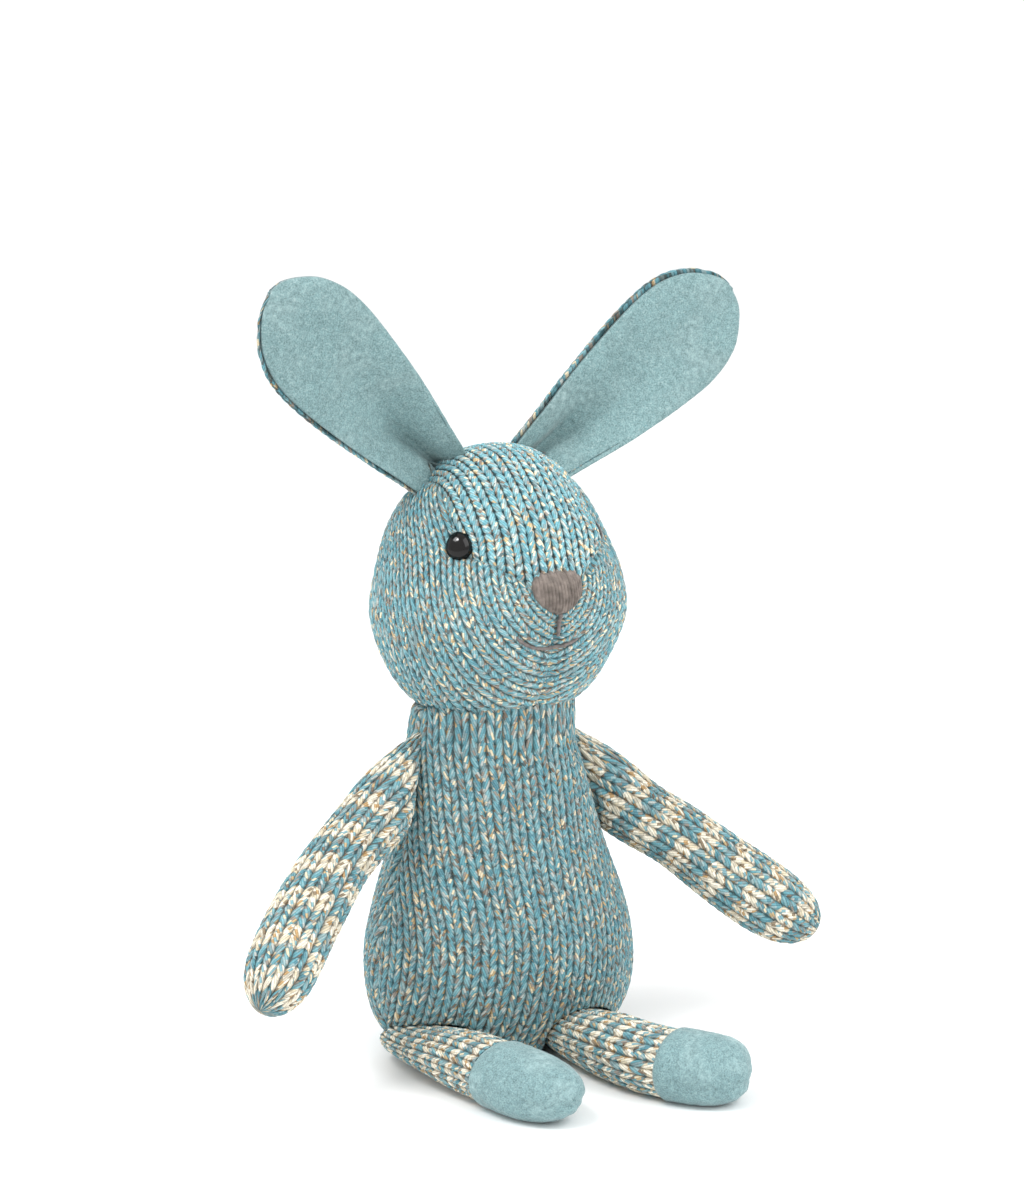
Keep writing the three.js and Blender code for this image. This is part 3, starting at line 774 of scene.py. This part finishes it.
def ear(name, side):
    """The ear's lining and back. Rows go from the base to the tip, columns go round the section."""
    base, axis = np.array(EAR_BASE[side]), unit(EAR_AXIS[side])
    front0 = unit(np.array([0, -1.0, 0]) - axis * -axis[1])
    wide0 = np.cross(axis, front0)
    wide0 = wide0 * np.sign(wide0[0])
    twist = math.radians(EAR_TWIST[side])
    front = math.cos(twist) * front0 + math.sin(twist) * side * wide0
    wide = unit(math.cos(twist) * wide0 - math.sin(twist) * side * front0)
    outline = through([[w, l] for l, w in EAR_WIDTH], 176)
    half, along = outline[:, :1], outline[:, 1:]
    cup = 5.6 * smooth(along, 72, 4)
    sway = side * (0.16 * np.sin(along / 15 - 0.4) - 0.12)

    def hollow(u):
        """How deep the lining is tucked in: a narrow pleat at the base inside a broad dish."""
        pleat = 4.6 * smooth(along, 30, 4) * bell(u - sway, 0.2 + 0.24 * smooth(along, 4, 30))
        dish = 2.6 * smooth(along, 62, 16) * smooth(along, -2, 14) * bell(u - sway, 0.55)
        return pleat + dish

    def section(u):
        """Forward place of the middle layer at u from -1 to 1 across."""
        return cup * (u * u - 0.4) + 0.9 * np.sin(along / 17 + 1) * u

    def points(u, out):
        deep = section(u) + out
        return (base + along[..., None] * axis + (half * u)[..., None] * wide
                + deep[..., None] * front)

    edge_u = 0.985
    u = np.linspace(-edge_u, edge_u, 76)[None]
    pad = 2.3 * np.sqrt(np.clip(1 - u**4, 0, 1)) + 0.3
    lift = pad - hollow(u)
    lift = lift * smooth(along, 75.2, 66) ** 0.5 + 0.2
    lining = points(u, lift)
    lining += front * (0.16 * wobble(lining, 2.6, 2) + 0.3 * wobble(lining, 12, 8))[..., None]
    inner_u = np.linspace(edge_u, -edge_u, 40)[None]
    inner = points(inner_u, -hollow(inner_u) - 0.5)
    ring = np.concatenate([lining, inner, lining[:, :1]], 1)
    ring[-1] = ring[-1].mean(0)
    w = np.broadcast_to(np.arange(ring.shape[1]) * 0.1, ring.shape[:2])
    front_piece = grid_object(f"ear_{name}_velour", ring, w, np.repeat(along / 3, ring.shape[1], 1),
                              EAR_VELOUR, base + axis)

    turn = np.linspace(math.radians(-14), math.radians(194), 92)[None]
    u = np.cos(turn)
    bulk = 3.2 * smooth(along, 75.6, 58) ** 0.5 + 0.5
    out = -bulk * np.sin(turn) - hollow(u) * smooth(np.sin(turn), 0, 0.5)
    back = points(u * 1.01, out) - wide * (0.8 if side < 0 else 1.4)
    n = grid_normals(back, base + axis * 40 + front * 3)
    run = lengths(back[len(back) // 2])
    w = np.broadcast_to((run - run[-1] / 2) / WALE, back.shape[:2]) * (0.55 + 0.45 * half / 16.9)
    c = np.repeat(along / COURSE, back.shape[1], 1)
    w, c = loosen(w, c, back)
    knit = knitted(back, n, w, c, np.minimum(run, run[-1] - run)[None] + 0 * along)
    inner_u = np.linspace(-0.94, 0.94, 40)[None]
    inner = points(inner_u, -hollow(inner_u) - 1.0)
    ring = np.concatenate([knit, inner, knit[:, :1]], 1)
    ring[-1] = ring[-1].mean(0)
    extra = ring.shape[1] - back.shape[1]
    w = np.pad(w, ((0, 0), (0, extra)), mode="edge")
    c = np.pad(c, ((0, 0), (0, extra)), mode="edge")
    back_piece = grid_object(f"ear_{name}_knit_back", ring, w, c, KNIT_EAR, base + axis)
    return front_piece, back_piece


# ---- limbs ----
def limb_grid(profile, thin, line, seam, wide_at, columns, rows):
    """A tube with an elliptical section round line. Columns start at the seam, which faces the way
    seam. Returns points, rows' places along the limb, angles round it and the rows' centres."""
    curve = through([[w, l] for l, w in profile], rows)
    half, along = curve[:, 0], curve[:, 1]
    path = through(line, 160)
    run = lengths(path)
    place = along / along[-1] * run[-1]
    ways = np.gradient(path, axis=0)
    centre, axis = (np.stack([np.interp(place, run, v[:, k]) for k in range(3)], 1)
                    for v in (path, ways))
    axis = unit(axis)
    wide = np.array([unit(wide_at(s, a)) for s, a in zip(along, axis)])
    flat = unit(np.cross(axis, wide))
    flat = flat * np.sign(flat @ np.array(seam, float))[:, None]
    turn = np.linspace(0, 2 * math.pi, columns)
    reach = half * at(thin, along)
    p = (centre[:, None] + (half[:, None] * np.sin(turn))[..., None] * wide[:, None]
         + (reach[:, None] * np.cos(turn))[..., None] * flat[:, None])
    p[:, -1] = p[:, 0]
    return p, along, turn, centre


ARM_WIDTH = [[0, 12.8], [3, 12.4], [10, 11], [22, 9.8], [36, 9.6], [52, 10.1], [66, 10.4],
             [76, 9.6], [82, 7.6], [85.6, 4.8], [87.2, 2.2], [87.6, 0]]
ARM_LINE = {-1: [[-27.5, 1, 79.5], [-32.7, -1, 77.8], [-43.5, -6, 71.8], [-61.2, -14, 61.7],
                 [-76, -22, 49.7], [-90, -30, 36], [-95, -32.5, 31.5]],
            1: [[24.5, 1, 77.5], [30.5, -3, 72], [40.4, -10, 62.5], [50.3, -16, 55.3],
                [62, -22, 45], [74.5, -27.5, 35.2], [88.3, -33, 25]]}
ARM_THIN = [[0, 0.07], [3, 0.28], [8, 0.56], [16, 0.76], [40, 0.82], [66, 0.84], [88, 0.9]]
ARM_WALES = 12  # columns of stitches round an arm
ARM_SLIP = {-1: -5.6, 1: 1.6}  # rows by which the stripes climb on their way round


def arm(name, side):
    seam_way = np.array([-side * 0.26, 0, 0.966])

    def wide_at(s, axis):
        plain = np.array([side * 0.5, 0, 0.85])
        plain = unit(plain - axis * np.dot(plain, axis))
        share = smooth(s, 0, 26)
        return seam_way * (1 - share) + plain * share

    p, along, turn, centre = limb_grid(
        ARM_WIDTH, ARM_THIN, ARM_LINE[side], (0, -1, 0), wide_at, 141, 200
    )
    return limb_cover(f"arm_{name}_knit", p, turn, centre, along, ARM_WALES, 3.0,
                      ARM_SLIP[side], KNIT_ARM, side)


def limb_cover(name, p, turn, centre, along, wales, course, slip, material, seed, cut=False):
    """The knitted cover of a limb, with its seam, and its tip gathered."""
    n = grid_normals(p, centre[:, None], closed=True)
    p = p + n * (0.4 * wobble(p, 26, seed) * smooth(along, 2, 14)[:, None])[..., None]
    p[:, -1] = p[:, 0]
    run = along if cut else lengths(centre)
    around = turn / (2 * math.pi)
    size = np.linalg.norm(np.roll(p[:, :-1], -1, 1) - p[:, :-1], axis=2).sum(1)
    edge = np.minimum(around, 1 - around)[None] * size[:, None]
    tip = (along[-1] - along)[:, None] + 0 * edge
    pull = 0.8 * bell(edge, 1.1) * smooth(along, 1, 6)[:, None] * smooth(tip, 0.5, 4)
    p = p - n * pull[..., None]
    w = around[None] * wales + 0 * edge
    c = (run / course)[:, None] + slip * around[None]
    c = c + 0.16 * wobble(p, 13, 7)
    near = edge if cut else np.minimum(edge, tip * 0.6)
    p = knitted(p, n, w, c, near)
    p[:, -1] = p[:, 0]
    if not cut:
        p[-1] = p[-1].mean(0)
    shut = len(centre) - 6 if cut else 8  # the open end closes onto this section's middle
    return grid_object(name, p, w, c, material, centre[shut])


CUFF = {-1: 54.5, 1: 64.0}  # distance along the leg where the velour foot begins


def leg(name, side):
    def wide_at(_, axis):
        return np.array([-axis[1], axis[0], 0.0])

    thin = [[l, flat * LEG_THIN[side]] for l, flat in LEG_FLAT]
    p, along, turn, centre = limb_grid(
        LEG_WIDTH[side], thin, LEG_LINE[side], (0, 0, -1), wide_at, 141, 210
    )
    sit = np.maximum(0.3 - p[..., 2], 0)
    p[..., 2] += sit
    stop = int(np.searchsorted(along, CUFF[side] + 0.6))
    q = p[:stop].copy()
    cover = limb_cover(f"leg_{name}_knit", q, turn, centre[:stop], along[:stop], 13, 3.0, 0.5,
                       KNIT_LEG, side + 2, cut=True)
    start = int(np.searchsorted(along, CUFF[side]))
    q, l = p[start:], along[start:]
    n = grid_normals(q, centre[start:, None], closed=True)
    rim = (l - CUFF[side])[:, None]
    proud = 0.75 * smooth(rim, -0.2, 1.2)
    height = (q[..., 2] - 8) / 8
    toe = smooth(l, 60, 78)[:, None]
    around_toe = 0.5 * bell(height + 0.15, 0.16) * toe
    lumps = 0.5 * wobble(q, 22, side) + 0.16 * wobble(q, 2.8, 3)
    q = q + n * (proud - around_toe + lumps * smooth(rim, 0, 4))[..., None]
    q[..., 2] = np.maximum(q[..., 2], 0.15)
    q[:, -1] = q[:, 0]
    q[-1] = q[-1].mean(0)
    flat = np.repeat(l[:, None], q.shape[1], 1) / 3
    foot = grid_object(f"leg_{name}_foot_velour", q, np.broadcast_to(turn, flat.shape), flat,
                       FOOT_VELOUR, centre[start])
    return cover, foot


# ---- put together ----
front, back = body_panel(True), body_panel(False)
gusset = head_gusset()
cheeks = [head_cheek(name, side) for name, side in SIDES]
eyes = [eye(name, side) for name, side in SIDES]
nose_piece = nose()
smile_piece, philtrum_piece = mouth()
for piece in (gusset, *cheeks, *sum(eyes, ()), nose_piece, smile_piece, philtrum_piece):
    piece.data.transform(Matrix.Translation(HEAD_SHIFT))
for piece, node in ((front, "body_front_panel"), (back, "body_back_panel")):
    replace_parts(piece, node)
    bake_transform(piece)
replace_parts(front, "body_stuffing")
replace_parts(back, "seat_pellet_pouch")
for piece, node in ((gusset, "head_gusset"), (cheeks[0], "head_side_right"),
                    (cheeks[1], "head_side_left")):
    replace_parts(piece, node)
    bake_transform(piece)
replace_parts(gusset, "head_stuffing")
for (dome, ring), (name, _) in zip(eyes, SIDES):
    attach(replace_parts(dome, f"eye_{name}"), "head")
    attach(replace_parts(ring, f"eye_washer_{name}"), "head")
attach(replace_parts(nose_piece, "nose_embroidery"), "head")
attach(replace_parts(smile_piece, "smile_stitch"), "head")
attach(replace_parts(philtrum_piece, "philtrum_stitch"), "head")

for name, side in SIDES:
    lining, ear_back = ear(name, side)
    base, way = np.array(EAR_BASE[side]) * 0.001, unit(EAR_AXIS[side])
    for piece, node, slot in ((lining, "lining", "velour"), (ear_back, "back", "knit")):
        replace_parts(piece, f"ear_{name}_{node}")
        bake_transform(piece)

    sleeve = arm(name, side)
    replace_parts(sleeve, f"arm_{name}_cover", f"arm_{name}_stuffing")
    root, elbow = np.array(ARM_LINE[side][0]) * 0.001, np.array(ARM_LINE[side][3]) * 0.001
    way = unit(elbow - root)
    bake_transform(sleeve)

    cover, foot = leg(name, side)
    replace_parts(cover, f"leg_{name}_cover", f"leg_{name}_stuffing")
    root = np.array(LEG_LINE[side][0]) * 0.001
    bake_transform(cover)
    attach(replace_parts(foot, f"leg_{name}_foot_cap"), f"leg_{name}")

for node, material in [("neck_drawstring", SEAM_THREAD)] + [
    pair for name, _ in SIDES for pair in (
        (f"arm_{name}_seam_thread", SEAM_THREAD),
        (f"leg_{name}_seam_thread", SEAM_THREAD))
]:
    nodes[node].data.materials.clear()
    nodes[node].data.materials.append(material)

# ---- stage, light and camera ----
floor_mesh = bpy.data.meshes.new("floor")
floor_mesh.from_pydata([(-6, -6, 0), (6, -6, 0), (6, 6, 0), (-6, 6, 0)], [], [(0, 1, 2, 3)])
floor = bpy.data.objects.new("floor", floor_mesh)
bpy.context.scene.collection.objects.link(floor)
floor_look = Nodes("white_floor")
paper = floor_look.noise(30.0)
floor_mesh.materials.append(floor_look.finish(
    floor_look.ramp(paper, [(0.3, (250, 250, 250)), (0.7, (252, 252, 252))]), None, 0.9,
    Specular_IOR_Level=0.1))

scene = bpy.context.scene
world = bpy.data.worlds.new("studio")
scene.world = world
world.use_nodes = True
tree = world.node_tree
background = tree.nodes["Background"]
background.inputs[0].default_value = (1, 1, 1, 1)
background.inputs[1].default_value = 1.05


def area_light(name, place, target, size, watts):
    data = bpy.data.lights.new(name, "AREA")
    data.energy, data.size = watts, size
    light = bpy.data.objects.new(name, data)
    light.location = place
    light.rotation_euler = (Vector(target) - Vector(place)).to_track_quat("-Z", "Y").to_euler()
    scene.collection.objects.link(light)
    return light


area_light("key", (-0.75, -0.08, 1.18), (0, 0, 0.1), 0.5, 9)
area_light("spark", (-0.598, -0.317, 1.035), (0, 0, 0.14), 0.13, 5).visible_diffuse = False
area_light("fill", (0.5, -0.9, 1.0), (0, 0, 0.1), 1.0, 8)

RIGHT, UP = Vector((0.839, -0.545, 0)), Vector((0.0946, 0.1456, 0.985))
TOWARD = Vector((-0.537, -0.826, 0.1736)).normalized()
aim = Vector((0, 0, 0.105)) + RIGHT * 0.0036 + UP * 0.0203
camera_data = bpy.data.cameras.new("camera")
camera_data.lens = 96.2
camera_data.clip_start = 0.05
camera = bpy.data.objects.new("camera", camera_data)
camera.location = aim + TOWARD * 0.9
camera.rotation_euler = (-TOWARD).to_track_quat("-Z", "Y").to_euler()
scene.collection.objects.link(camera)
scene.camera = camera
scene.view_settings.view_transform = "Standard"
